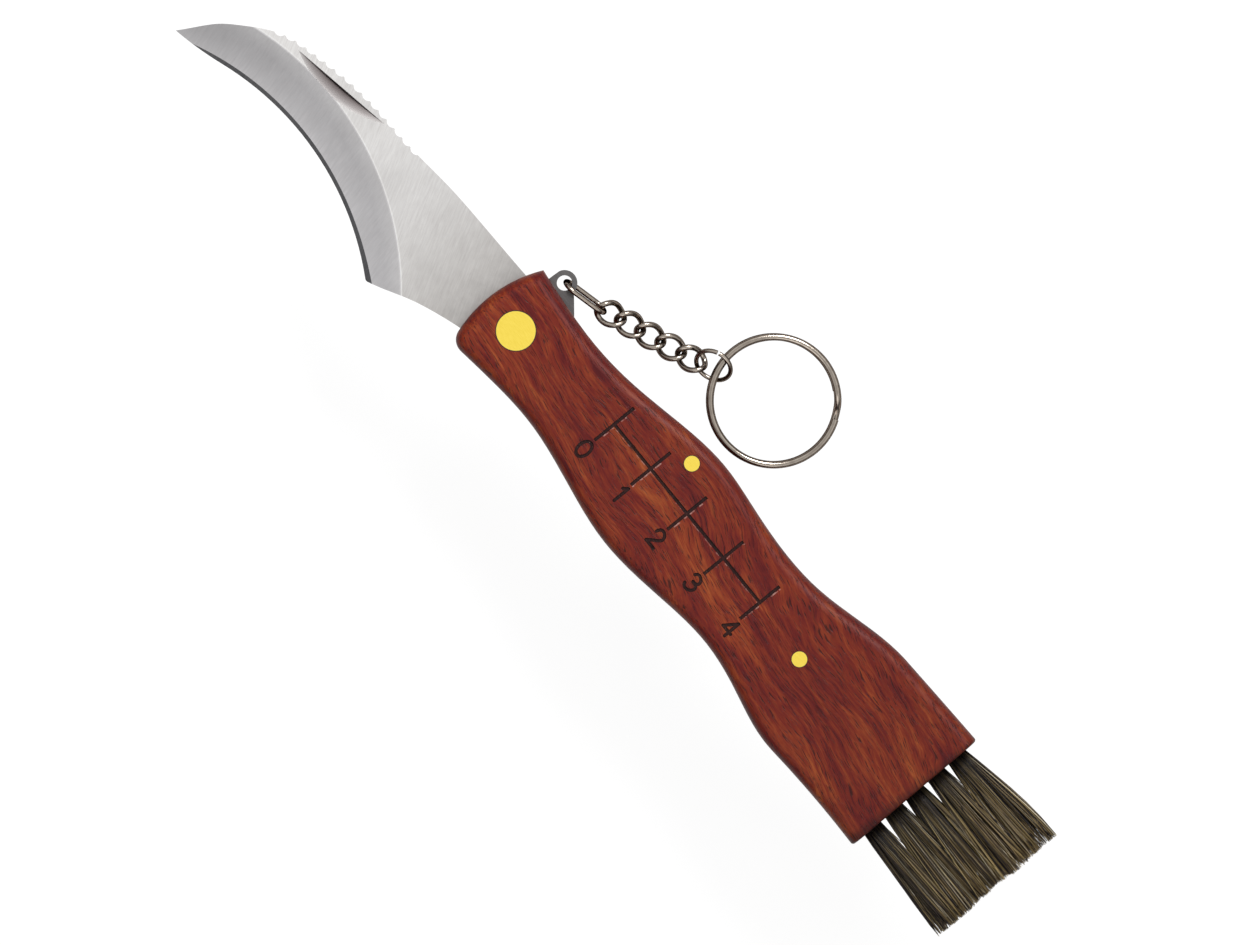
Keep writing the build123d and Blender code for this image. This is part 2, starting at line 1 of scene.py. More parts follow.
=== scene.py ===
import bmesh
import bpy
import math
import random
from collections import namedtuple
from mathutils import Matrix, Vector


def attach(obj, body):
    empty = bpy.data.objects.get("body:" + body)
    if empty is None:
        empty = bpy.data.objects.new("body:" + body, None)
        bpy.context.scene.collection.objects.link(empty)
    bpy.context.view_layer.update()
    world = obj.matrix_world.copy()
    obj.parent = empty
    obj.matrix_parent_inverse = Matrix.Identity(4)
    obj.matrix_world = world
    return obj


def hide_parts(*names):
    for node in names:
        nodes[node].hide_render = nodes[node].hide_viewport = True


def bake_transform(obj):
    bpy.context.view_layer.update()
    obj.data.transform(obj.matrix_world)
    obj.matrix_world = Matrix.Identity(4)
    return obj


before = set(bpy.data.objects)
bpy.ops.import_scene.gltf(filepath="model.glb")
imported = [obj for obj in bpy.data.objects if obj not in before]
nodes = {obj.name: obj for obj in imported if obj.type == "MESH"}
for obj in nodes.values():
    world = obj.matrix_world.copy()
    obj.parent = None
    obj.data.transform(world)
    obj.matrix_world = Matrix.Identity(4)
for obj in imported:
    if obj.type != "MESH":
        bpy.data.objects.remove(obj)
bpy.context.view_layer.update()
bpy.context.scene.view_settings.view_transform = "Standard"
MM = 0.001

# Sizes that the CAD part also has, in millimetres
HANDLE_TOP = 13.0
SLOT_HALF = 1.15
GROOVE_DEPTH = 0.3
GROOVE_HALF = 0.3
SCALE_PLACE = (23.3, 3.5)
SCALE_SLOPE = math.radians(1.2)
SCALE_STEP = 10.0
SCALE_LENGTH = 40.0
MARK_HALF = 4.45
PIVOT_RADIUS = 3.5
PIN_RADIUS = 1.4
LOCK_BAR_PIN = (37.0, 9.9)
SPRING_PIN = (75.3, 3.7)
BRUSH_FACE = (106.0, 5.25, 6.5)
BRUSH_TILT = math.radians(2.2)
TUFT_COUNT = 5
TUFT_PITCH = 4.8
TUFT_SPREAD = 0.25
TUFT_LENGTH = 21.6
CURB_LINKS = 5
GRIND_CENTER = (-51.4, -54.4)
GRIND_RADIUS = 54.4
EDGE_CENTER = (-49.6, -61.8)
EDGE_RADIUS = 53.5
BLADE_TOP = 7.5
BLADE_BOTTOM = 5.5

# How far inside a solid a place has to lie to count as off its outer face
SKIN = 0.01


def place_object(name, data):
    placed = bpy.data.objects.new(name, data)
    bpy.context.scene.collection.objects.link(placed)
    return placed


# Camera: straight above, the brush towards the lower right

PHOTO_CENTER = Vector((30.2, -1.3, 9.0))
PHOTO_WIDTH = 215.0
PHOTO_TURN = math.radians(52.0)
CAMERA_DISTANCE = 1500.0
CAMERA_SENSOR = 36.0
CAMERA_REACH = 20.0

camera_data = bpy.data.cameras.new("camera")
camera_data.sensor_width = CAMERA_SENSOR
camera_data.lens = CAMERA_SENSOR * CAMERA_DISTANCE / PHOTO_WIDTH
camera_data.clip_end = CAMERA_REACH
camera = place_object("camera", camera_data)
camera.location = (PHOTO_CENTER + Vector((0, 0, CAMERA_DISTANCE))) * MM
camera.rotation_euler = (0, 0, PHOTO_TURN)
bpy.context.scene.camera = camera


# Colours

def rgb(red, green, blue):
    """A colour as seen on a screen, 0 to 255, as the shader's linear values."""
    def linear(value):
        value = value / 255
        return value / 12.92 if value <= 0.04045 else ((value + 0.055) / 1.055) ** 2.4
    return (linear(red), linear(green), linear(blue), 1.0)


def grey(value):
    """A grey by its linear value."""
    return (value, value, value, 1.0)


def times(color, factor):
    """A colour made brighter or darker, but no brighter than white."""
    return (*(min(1, c * factor) for c in color[:3]), 1.0)


BLACK = grey(0.0)
WHITE = grey(1.0)


# Node helpers

class Nodes:
    """A new node tree of a material or the world, with short calls to fill it."""

    def __init__(self, owner):
        owner.use_nodes = True
        self.tree = owner.node_tree
        self.tree.nodes.clear()

    def add(self, kind, **settings):
        node = self.tree.nodes.new(kind)
        for key, value in settings.items():
            setattr(node, key, value)
        return node

    def link(self, source, target):
        self.tree.links.new(source, target)

    def put(self, value, socket):
        if isinstance(value, bpy.types.NodeSocket):
            self.link(value, socket)
        else:
            socket.default_value = value

    def math(self, operation, first, second=0.0, third=0.0, clamp=False):
        node = self.add("ShaderNodeMath", operation=operation, use_clamp=clamp)
        for value, socket in zip((first, second, third), node.inputs):
            self.put(value, socket)
        return node.outputs[0]

    def weighted(self, *parts):
        """The sum of values, each given with its weight."""
        total = None
        for value, weight in parts:
            part = self.math("MULTIPLY", value, weight)
            total = part if total is None else self.math("ADD", total, part)
        return total

    def centred(self, noise, size):
        """Noise brought round zero, from about -size / 2 to size / 2."""
        return self.math("MULTIPLY", self.math("SUBTRACT", noise, 0.5), size)

    def mix(self, share, first, second, blend="MIX"):
        node = self.add("ShaderNodeMix", data_type="RGBA", blend_type=blend)
        self.put(share, node.inputs["Factor"])
        self.put(first, node.inputs[6])
        self.put(second, node.inputs[7])
        return node.outputs[2]

    def ramp(self, value, *stops):
        node = self.add("ShaderNodeValToRGB")
        points = node.color_ramp.elements
        while len(points) < len(stops):
            points.new(0.5)
        for point, (place, color) in zip(points, stops):
            point.position = place
            point.color = color
        self.put(value, node.inputs[0])
        return node.outputs["Color"]

    def ramp_mm(self, value, start, end, *stops):
        """A ramp whose value and stops are in millimetres, between start and end."""
        span = end - start
        share = self.math("MULTIPLY_ADD", value, 1 / span, -start / span)
        return self.ramp(share, *(((place - start) / span, color) for place, color in stops))

    def rise(self, value, low, high, top=1.0):
        """None of it below low, and the share top from high on."""
        return self.ramp(value, (low, BLACK), (high, grey(top)))

    def split(self, vector):
        """The vector's x, y and z."""
        node = self.add("ShaderNodeSeparateXYZ")
        self.link(vector, node.inputs[0])
        return node.outputs

    def upward(self):
        """How far the surface faces up in its own frame, where 1 is straight up."""
        return self.split(self.add("ShaderNodeTexCoord").outputs["Normal"])[2]

    def millimetres(self):
        place = self.add("ShaderNodeTexCoord").outputs["Object"]
        scale = self.add("ShaderNodeVectorMath", operation="SCALE")
        self.link(place, scale.inputs[0])
        scale.inputs["Scale"].default_value = 1 / MM
        return scale.outputs[0]

    def mapped(self, vector, scale=(1, 1, 1), turn=0.0, shift=(0, 0, 0)):
        """The vector scaled, turned about z and then shifted."""
        node = self.add("ShaderNodeMapping")
        self.link(vector, node.inputs["Vector"])
        node.inputs["Scale"].default_value = scale
        node.inputs["Rotation"].default_value = (0, 0, turn)
        node.inputs["Location"].default_value = shift
        return node.outputs[0]

    def noise(self, vector, scale, detail, roughness=0.5):
        node = self.add("ShaderNodeTexNoise")
        self.link(vector, node.inputs["Vector"])
        node.inputs["Scale"].default_value = scale
        node.inputs["Detail"].default_value = detail
        node.inputs["Roughness"].default_value = roughness
        return node.outputs["Fac"]

    def streaks(self, vector, along, across, detail, roughness=0.5, turn=0.0, shift=(0, 0, 0)):
        """Noise drawn out along x, by its waves per millimetre along and across."""
        return self.noise(self.mapped(vector, (along, across, across), turn, shift), 1.0, detail, roughness)

    def bump(self, height, strength, distance):
        node = self.add("ShaderNodeBump")
        self.put(height, node.inputs["Height"])
        node.inputs["Strength"].default_value = strength
        node.inputs["Distance"].default_value = distance * MM
        return node.outputs[0]

    def surface(self, **values):
        shader = self.add("ShaderNodeBsdfPrincipled")
        for name, value in values.items():
            self.put(value, shader.inputs[name.replace("_", " ")])
        output = self.add("ShaderNodeOutputMaterial")
        self.link(shader.outputs[0], output.inputs["Surface"])


def new_material(name):
    material = bpy.data.materials.new(name)
    return material, Nodes(material)


# Wood

WOOD_STOPS = (
    (0.385, rgb(78, 11, 15)),
    (0.445, rgb(100, 22, 17)),
    (0.505, rgb(117, 36, 17)),
    (0.56, rgb(133, 52, 22)),
    (0.64, rgb(158, 78, 34)),
)
SOOT_STOPS = (
    (0.35, rgb(16, 5, 6)),
    (0.66, rgb(36, 12, 12)),
    (0.78, rgb(120, 84, 80)),
)
FIBRE_LINES = rgb(66, 12, 9)
PORE_COLOR = rgb(44, 8, 7)
# The colour of the painted highlight beside the burnt lines
SCALE_HIGHLIGHT_COLOR = rgb(178, 134, 126)
GRAIN_TURN = math.radians(6)
BEND_SIZES = (9.0, 1.5)
FIGURE_WEIGHTS = (0.30, 0.40, 0.30)
FIBRE_STRENGTH = 0.62
PORE_STRENGTH = 0.80

# The wood's tone along the handle, in millimetres from the pivot, up to the end face at the brush, which is
# darkened as painted shade
TONE_REACH = (-12.0, 108.0)
TONE_AND_END_SHADE_STOPS = (
    (-6.0, (1.0, 1.0, 1.0)),
    (18.0, (0.90, 0.90, 0.90)),
    (60.0, (0.92, 0.90, 0.88)),
    (104.28, (0.80, 0.78, 0.76)),
    (105.72, (0.34, 0.30, 0.30)),
)
# Painted shade: the wood is darker where its surface turns from facing up towards its sides
RIM_SHADE_STOPS = ((0.30, (0.68, 0.64, 0.64, 1)), (0.86, WHITE))

# Painted highlight along one side of the burnt lines: how far past a groove's wall its middle lies, and half
# its width
MARK_HIGHLIGHT = (0.10, 0.14)
LINE_HIGHLIGHT = (0.08, 0.10)
LINE_HIGHLIGHT_SHARE = 0.6
HIGHLIGHT_PAST_END = 1.0


def scale_line_highlight(n, place):
    """A painted highlight that lies along one side of the burnt lines, in patches."""
    x, y, z = n.split(n.mapped(place, turn=-SCALE_SLOPE))
    cosine, sine = math.cos(SCALE_SLOPE), math.sin(SCALE_SLOPE)
    along = n.math("SUBTRACT", x, SCALE_PLACE[0] * cosine + SCALE_PLACE[1] * sine)
    across = n.math("SUBTRACT", y, SCALE_PLACE[1] * cosine - SCALE_PLACE[0] * sine)
    beside = n.math("WRAP", along, SCALE_STEP / 2, -SCALE_STEP / 2)
    near = n.math("COMPARE", beside, GROOVE_HALF + MARK_HIGHLIGHT[0], MARK_HIGHLIGHT[1])
    ends = n.math("COMPARE", across, 0.0, MARK_HALF)
    reach = n.math("COMPARE", along, SCALE_LENGTH / 2, SCALE_LENGTH / 2 + HIGHLIGHT_PAST_END)
    marks = n.math("MULTIPLY", n.math("MULTIPLY", near, ends), reach)
    below = n.math("COMPARE", across, -GROOVE_HALF - LINE_HIGHLIGHT[0], LINE_HIGHLIGHT[1])
    line = n.math("MULTIPLY", n.math("MULTIPLY", below, reach), LINE_HIGHLIGHT_SHARE)
    highlight_mask = n.math("ADD", marks, line, clamp=True)
    top = n.math("GREATER_THAN", z, HANDLE_TOP - SKIN)
    patches = n.rise(n.noise(place, 0.9, 3.0, 0.7), 0.50, 0.60, 0.75)
    return n.math("MULTIPLY", n.math("MULTIPLY", highlight_mask, top), patches)


def wandering_grain(n, place):
    """The place as the grain sees it: turned a little, and bent sideways in slow waves."""
    x, y, z = n.split(n.mapped(place, turn=GRAIN_TURN))
    wander = n.streaks(place, 0.030, 0.07, 1.0)
    curl = n.streaks(place, 0.13, 0.30, 2.0, shift=(4, 2, 7))
    bend = n.weighted(*zip((wander, curl), BEND_SIZES))
    grain = n.add("ShaderNodeCombineXYZ")
    n.link(x, grain.inputs[0])
    n.link(n.math("ADD", y, bend), grain.inputs[1])
    n.link(z, grain.inputs[2])
    return grain.outputs[0]


def wood_material(name, burn=0.0, shade=1.0):
    """Oiled red-brown hardwood: orange and dark streaks that wander along the handle, fibres and pores.
    Painted shade darkens its sides, rims and end face, shade darkens all of it as painted shade, and a
    painted highlight lies beside the burnt lines.
    """
    material, n = new_material(name)
    place = n.millimetres()
    grain = wandering_grain(n, place)
    broad = n.streaks(grain, 0.035, 0.26, 2.0, 0.5)
    streaks = n.streaks(grain, 0.135, 1.2, 4.0, 0.65, shift=(2, 0, 5))
    fibres = n.streaks(grain, 0.22, 4.2, 3.0, 0.7, shift=(3, 8, 1))
    pores = n.streaks(grain, 0.42, 5.6, 1.0, 0.4, shift=(1, 5, 9))

    color = n.ramp(n.weighted(*zip((broad, streaks, fibres), FIGURE_WEIGHTS)), *WOOD_STOPS)
    color = n.mix(n.math("MULTIPLY", n.rise(fibres, 0.56, 0.70), FIBRE_STRENGTH), color, FIBRE_LINES)
    pore_mask = n.rise(pores, 0.60, 0.67)
    color = n.mix(n.math("MULTIPLY", pore_mask, PORE_STRENGTH), color, PORE_COLOR)
    # Soot in the burnt lines; elsewhere a painted highlight along one side of each burnt line
    if burn:
        color = n.mix(burn, color, n.ramp(n.noise(place, 3.0, 3.0), *SOOT_STOPS))
    else:
        color = n.mix(scale_line_highlight(n, place), color, SCALE_HIGHLIGHT_COLOR)
    # The wood's tone along the handle, with painted shade on the end face at the brush
    tones_and_end_shade = ((x, (*(shade * c for c in tone), 1)) for x, tone in TONE_AND_END_SHADE_STOPS)
    color = n.mix(1.0, color, n.ramp_mm(n.split(place)[0], *TONE_REACH, *tones_and_end_shade), "MULTIPLY")
    # Painted shade on the sides and rims, by how far the surface faces up
    color = n.mix(1.0, color, n.ramp(n.upward(), *RIM_SHADE_STOPS), "MULTIPLY")

    height = n.weighted((fibres, 0.4), (pore_mask, -0.8))
    roughness = n.math("MULTIPLY_ADD", streaks, 0.18, 0.34)
    relief = n.bump(height, 0.5, 0.10)
    n.surface(Base_Color=color, Roughness=roughness, Specular_IOR_Level=0.22, Normal=relief)
    return material


# Steel

STEEL_CLOUD = rgb(150, 145, 142)
# A painted highlight along the grind's ridge: its colour, and how far from the ridge it fades
RIDGE_HIGHLIGHT_COLOR = grey(1.12)
RIDGE_REACH = (0.06, 0.30)

# Painted light and shade on the blade, all by places in millimetres: painted shade on the flats from the
# pivot towards the tip, painted reflection on the hollow grind from its ridge to the edge and also towards
# the tip, and painted shade in the nail nick by its depth
SHADOW_WOBBLE = 9.6
FLAT_REACH = 60.0
FLAT_SHADE_STOPS = ((6.0, (0.60, 0.59, 0.58, 1)), (13.2, (0.74, 0.73, 0.72, 1)), (30.0, grey(0.92)), (54.0, WHITE))
# Painted reflection on the hollow grind, across it and along it
BEVEL_WIDTH = 8.0
BEVEL_STOPS = ((0.0, grey(0.97)), (2.8, (0.86, 0.86, 0.87, 1)), (8.0, (0.95, 0.95, 0.96, 1)))
BEVEL_REACH = 80.0
BEVEL_TONES = ((24.0, WHITE), (49.6, grey(0.93)), (70.4, grey(0.80)))
NICK_SHADE_STOPS = (
    (0.0, WHITE),
    (0.16, (0.62, 0.60, 0.60, 1)),
    (0.36, (0.34, 0.31, 0.31, 1)),
    (0.54, (0.09, 0.07, 0.07, 1)),
)


def steel_material(name, color, roughness, turn=0.0, depth=0.02, contrast=0.06, shade=None):
    """Ground steel with fine parallel scratches. shade(n, place) may darken or lighten it from place to
    place, with painted shade, reflection and highlight.
    """
    material, n = new_material(name)
    place = n.millimetres()
    scratch = n.streaks(n.mapped(place, turn=turn), 0.22, 3.2, 4.0, 0.75)
    cloud = n.streaks(place, 0.16, 0.16, 3.0)
    base = n.mix(n.rise(scratch, 0.3, 0.7), times(color, 1 - contrast), times(color, 1 + contrast))
    base = n.mix(n.rise(cloud, 0.35, 0.75, 0.12), base, STEEL_CLOUD)
    if shade:
        base = n.mix(1.0, base, shade(n, place), "MULTIPLY")
    rough = n.math("MULTIPLY_ADD", scratch, 0.08, roughness - 0.04)
    n.surface(Base_Color=base, Metallic=1.0, Roughness=rough, Normal=n.bump(scratch, 0.25, depth))
    return material


def from_grind_center(n, place):
    """How far each point lies from the upright axis that the hollow grind was turned about."""
    node = n.add("ShaderNodeVectorMath", operation="DISTANCE")
    n.link(n.mapped(place, (1, 1, 0)), node.inputs[0])
    node.inputs[1].default_value = (*GRIND_CENTER, 0)
    return node.outputs["Value"]


def grind_ridge_highlight(n, place, shade):
    """A painted highlight along the ridge where the flat and the hollow grind meet."""
    off = n.math("ABSOLUTE", n.math("SUBTRACT", from_grind_center(n, place), GRIND_RADIUS))
    ridge = n.ramp(off, (RIDGE_REACH[0], WHITE), (RIDGE_REACH[1], BLACK))
    return n.mix(ridge, shade, RIDGE_HIGHLIGHT_COLOR)


def towards_tip(n, place):
    """How far each point lies from the pivot, along the blade."""
    return n.math("MULTIPLY", n.split(place)[0], -1.0)


def flat_shade(n, place):
    """Painted shade: the flats are a little darker towards the pivot, near the handle, in a ragged band."""
    wobble = n.centred(n.noise(place, 0.55, 4.0, 0.7), SHADOW_WOBBLE)
    along = n.math("ADD", towards_tip(n, place), wobble)
    return grind_ridge_highlight(n, place, n.ramp_mm(along, 0.0, FLAT_REACH, *FLAT_SHADE_STOPS))


def bevel_shade(n, place):
    """Painted reflection: the hollow grind is darkest in its middle and lighter towards the heel."""
    from_ridge = n.math("SUBTRACT", GRIND_RADIUS, from_grind_center(n, place))
    shade = n.ramp_mm(from_ridge, 0.0, BEVEL_WIDTH, *BEVEL_STOPS)
    tone = n.ramp_mm(towards_tip(n, place), 0.0, BEVEL_REACH, *BEVEL_TONES)
    return grind_ridge_highlight(n, place, n.mix(1.0, shade, tone, "MULTIPLY"))


def nick_shade(n, place):
    """Painted shade: the nail nick gets darker with its depth."""
    return n.ramp(n.math("SUBTRACT", BLADE_TOP, n.split(place)[2]), *NICK_SHADE_STOPS)


# Nickel, brass, seams and bristles

# Painted light and shade of the nickel, by how far its surface faces up
NICKEL_SHADE_STOPS = (
    (0.20, rgb(66, 56, 50)),
    (0.48, rgb(112, 100, 91)),
    (0.78, rgb(146, 134, 123)),
    (1.0, rgb(186, 175, 163)),
)
NICKEL_TINT = rgb(76, 66, 58)


def nickel_material(name):
    """Nickel plate with painted light and shade: lighter where it faces up and dark brown at its sides, with
    blotches of wear in its tone and gloss.
    """
    material, n = new_material(name)
    wear = n.noise(n.millimetres(), 0.9, 3.0, 0.6)
    color = n.ramp(n.math("ADD", n.upward(), n.centred(wear, 0.45)), *NICKEL_SHADE_STOPS)
    roughness = n.math("MULTIPLY_ADD", wear, 0.14, 0.10)
    polish = n.bump(wear, 0.12, 0.03)
    n.surface(Base_Color=color, Metallic=1.0, Specular_Tint=NICKEL_TINT, Roughness=roughness, Normal=polish)
    return material


def brass_material(name):
    """Brass ground flush with the wood."""
    material, n = new_material(name)
    scratch = n.streaks(n.millimetres(), 0.8, 14.0, 3.0, 0.6, turn=0.6)
    color = n.ramp(scratch, (0.3, rgb(236, 206, 68)), (0.7, rgb(250, 224, 96)))
    n.surface(Base_Color=color, Metallic=0.55, Roughness=0.42, Normal=n.bump(scratch, 0.10, 0.01))
    return material


def seam_material(name, color):
    """The dark, spotted gap between brass and wood."""
    material, n = new_material(name)
    spots = n.noise(n.millimetres(), 2.5, 3.0)
    n.surface(Base_Color=n.mix(spots, color, times(color, 0.6)), Roughness=0.7)
    return material


def bristle_material(name):
    """Natural bristle: each strand has its own shade, dark at the root."""
    material, n = new_material(name)
    shade = n.add("ShaderNodeAttribute", attribute_name="shade").outputs["Color"]
    streak = n.streaks(n.millimetres(), 0.35, 3.0, 2.0)
    color = n.mix(n.math("MULTIPLY", streak, 0.24), shade, rgb(50, 40, 30))
    n.surface(Base_Color=color, Roughness=0.45, Specular_IOR_Level=0.4)
    return material


wood = wood_material("wood")
burnt = wood_material("burnt_scale", burn=0.92)
# The slot's wood is the same wood made darker, as painted shade inside the slot
shaded_slot_wood = wood_material("shaded_slot_wood", shade=0.55)
blade_flat = steel_material(
    "blade_flat", (0.93, 0.905, 0.89, 1), roughness=0.36, turn=math.radians(60), depth=0.012, contrast=0.09,
    shade=flat_shade,
)
# The hollow grind's steel is made darker than the flats, as painted reflection
blade_bevel = steel_material(
    "blade_bevel", (0.785, 0.768, 0.772, 1), roughness=0.33, turn=math.radians(75), depth=0.012,
    shade=bevel_shade,
)
# The edge bevel is the blade's steel made nearly black, as a painted dark reflection
blade_edge = steel_material(
    "blade_edge", (0.11, 0.11, 0.115, 1), roughness=0.40, turn=math.radians(80), depth=0.01, contrast=0.2,
)
# The nail nick's steel is made darker than the flats, as painted shade
nick_steel = steel_material(
    "nick_steel", (0.225, 0.215, 0.213, 1), roughness=0.46, turn=math.radians(11), shade=nick_shade,
)
# The lock bar's steel is made dark, as painted shade where it lies below the wood's face
bar_steel = steel_material("bar_steel", (0.13, 0.125, 0.125, 1), roughness=0.50, depth=0.03, contrast=0.2)
spring_steel = steel_material("spring_steel", (0.45, 0.45, 0.46, 1), roughness=0.4)
nickel = nickel_material("nickel")
brass = brass_material("brass")
gap_dark = seam_material("gap_dark", rgb(44, 22, 16))
bristle = bristle_material("bristle")
wire_steel = steel_material("anchor_wire", grey(0.6), roughness=0.3)


# Which material each node and each of its faces has

# The z of a face's normal: of a face that lies flat, nearly flat, or stands upright
FLAT = 0.999
NEARLY_FLAT = 0.9
STANDING = 0.05

SCALE_AREA_X = (20.0, 67.0)
SCALE_AREA_Y = (-7.5, 10.0)
SLOT_MARGIN = 0.15
SLOT_ROOF_FROM = 42.0
SLOT_AREA_END = 84.0
EDGE_ZONE = 1.0
EDGE_FLATNESS = 0.985
RIM_FLATNESS = 0.3


def dress(node, *materials):
    slots = nodes[node].data.materials
    slots.clear()
    for material in materials:
        slots.append(material)


def dress_faces(node, look, *materials):
    """Each face gets the material that look(center, normal) gives, with the centre in millimetres."""
    dress(node, *materials)
    for face in nodes[node].data.polygons:
        face.material_index = materials.index(look(face.center / MM, face.normal))


def handle_look(center, normal):
    """Burnt wood in the scale's grooves, wood darkened as painted shade in the slot, and plain wood
    elsewhere.
    """
    depth = HANDLE_TOP - center.z
    in_area = SCALE_AREA_X[0] < center.x < SCALE_AREA_X[1] and SCALE_AREA_Y[0] < center.y < SCALE_AREA_Y[1]
    in_grooves = in_area and SKIN < depth < GROOVE_DEPTH + 2 * SKIN
    groove_floor = normal.z > FLAT and abs(depth - GROOVE_DEPTH) < 2 * SKIN
    if in_grooves and (groove_floor or abs(normal.z) < STANDING):
        return burnt
    in_slot = abs(center.z - HANDLE_TOP / 2) < SLOT_HALF + SLOT_MARGIN and center.x < SLOT_AREA_END
    if in_slot and (abs(normal.z) > NEARLY_FLAT or center.x > SLOT_ROOF_FROM):
        return shaded_slot_wood
    return wood


def blade_look(center, normal):
    """The edge, the hollow grind and the nail nick between the flats, and plain steel elsewhere."""
    from_grind = math.dist(center.xy, GRIND_CENTER)
    from_edge = math.dist(center.xy, EDGE_CENTER)
    inside = BLADE_BOTTOM + SKIN < center.z < BLADE_TOP - SKIN
    if not inside or abs(normal.z) < RIM_FLATNESS:
        return blade_flat
    if from_edge < EDGE_RADIUS + EDGE_ZONE and abs(normal.z) < EDGE_FLATNESS:
        return blade_edge
    return blade_bevel if from_grind < GRIND_RADIUS else nick_steel


dress_faces("handle", handle_look, wood, burnt, shaded_slot_wood)
dress_faces("blade", blade_look, blade_flat, blade_bevel, blade_edge, nick_steel)
for node in ("pivot_rivet_tube", "pivot_rivet_stud", "lock_bar_pin", "spring_pin"):
    dress(node, brass)
for node in ("connecting_link", "jump_ring", "split_ring"):
    dress(node, nickel)
for number in range(CURB_LINKS):
    dress(f"curb_link_{number + 1}", nickel)
dress("lock_bar", bar_steel)
dress("bar_spring", spring_steel)
dress("tuft_anchors", wire_steel)


# Seams: the thin dark line round each brass disc, level with the wood

SEAM_SIDES = 72
SEAM_GAP = 0.02
SEAM_LOW = 0.004
SEAM_CROWN = 0.012
PIVOT_SEAM_WIDTH = 0.16
PIN_SEAM_WIDTH = 0.12


def mesh_piece(name, vertices, faces, material, body):
    mesh = bpy.data.meshes.new(name)
    mesh.from_pydata([tuple(c * MM for c in vertex) for vertex in vertices], [], faces)
    mesh.materials.append(material)
    mesh.polygons.foreach_set("use_smooth", [True] * len(mesh.polygons))
    piece = place_object(name, mesh)
    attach(piece, body)
    return piece


def seam_ring(name, center, disc_radius, width):
    radius = disc_radius + SEAM_GAP
    vertices, faces = [], []
    for number in range(SEAM_SIDES):
        turn = 2 * math.pi * number / SEAM_SIDES
        for reach, height in ((-width / 2, SEAM_LOW), (0, SEAM_CROWN), (width / 2, SEAM_LOW)):
            x = center[0] + (radius + reach) * math.cos(turn)
            y = center[1] + (radius + reach) * math.sin(turn)
            vertices.append((x, y, HANDLE_TOP + height))
    for number in range(SEAM_SIDES):
        here, after = 3 * number, 3 * ((number + 1) % SEAM_SIDES)
        faces.append((here + 1, after + 1, after, here))
        faces.append((here + 2, after + 2, after + 1, here + 1))
    mesh_piece(name, vertices, faces, gap_dark, "handle")


seam_ring("pivot_seam", (0.0, 0.0), PIVOT_RADIUS, PIVOT_SEAM_WIDTH)
seam_ring("lock_bar_pin_seam", LOCK_BAR_PIN, PIN_RADIUS, PIN_SEAM_WIDTH)
seam_ring("spring_pin_seam", SPRING_PIN, PIN_RADIUS, PIN_SEAM_WIDTH)


# Bar spring: a copy of its leaf, cut into strips across its length, shown in place of the CAD solid

LEAF_BENT_FROM = 72.0
LEAF_BENT_TO = 57.5
LEAF_CUTS = 14
CUT_MARGIN = 1e-7

leaf = bmesh.new()
leaf.from_mesh(nodes["bar_spring"].data)
for cut in range(LEAF_CUTS + 1):
    cut_x = LEAF_BENT_TO + (LEAF_BENT_FROM - LEAF_BENT_TO) * cut / LEAF_CUTS
    everything = leaf.verts[:] + leaf.edges[:] + leaf.faces[:]
    bmesh.ops.bisect_plane(
        leaf, geom=everything, dist=CUT_MARGIN, plane_co=(cut_x * MM, 0, 0), plane_no=(1, 0, 0),
    )
leaf_mesh = bpy.data.meshes.new("bar_spring_leaf")
leaf.to_mesh(leaf_mesh)
leaf.free()
leaf_mesh.materials.clear()
leaf_mesh.materials.append(spring_steel)
leaf_piece = place_object("bar_spring_leaf", leaf_mesh)
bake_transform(leaf_piece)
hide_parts("bar_spring")


# Bristles: each tuft is a few hundred bent strands in clumps, in place of its plain CAD solid

STRANDS = 460
STRAND_STEPS = 6
STRAND_CORNERS = 3
CLUMPS = 11
GOLDEN_TURN = 2.39996

# Of a tuft: its radius at the root, how deep it starts, and its radius at the tips against that at the root
ROOT_REACH = 1.80
ROOT_DEPTH = 0.8
FAN_ACROSS = 2.15
FAN_FIRST_SIDE = 1.5
FAN_UP = 1.55
SIDE_BULGE = 0.8

# Of a clump: how far each value strays from the mean
CLUMP_TURN = 0.4
CLUMP_SHIFT_ACROSS = 0.55
CLUMP_SHIFT_UP = 0.20
CLUMP_LONGER = 0.26
CLUMP_BRIGHT = (0.78, 1.22)

# Of a strand: how far its tip is drawn to its clump and strays from it
STRAND_TURN = 0.2
GATHER = (0.2, 0.55)
WILD_SHARE = 0.30
WILD_STRAY = 0.9
TAME_STRAY = 0.2
TIP_MARGIN = 0.15
TIP_STRAY_UP = 0.14

# Its length: a few strands are cut short, those at the free side of the first tuft most
LENGTH_EXTRA = 0.05
LENGTH_STRAY = 0.14
LENGTH_MARGIN = 0.5
SIDE_SHORTER = 0.35
SHORT_SHARE = 0.10
SHORTER = (0.4, 2.4)
CORNER_FROM = 0.7
CORNER_SHORTER = 2.4

# Its form: how far it bows, its half width, how it leaves the root and where its tip tapers
BOW_ACROSS = 0.30
BOW_UP = 0.2
HALF_WIDTH = (0.055, 0.095)
SWELL_POWER = 0.82
TAPER_FROM = 0.85
TAPER_RATE = 2.6

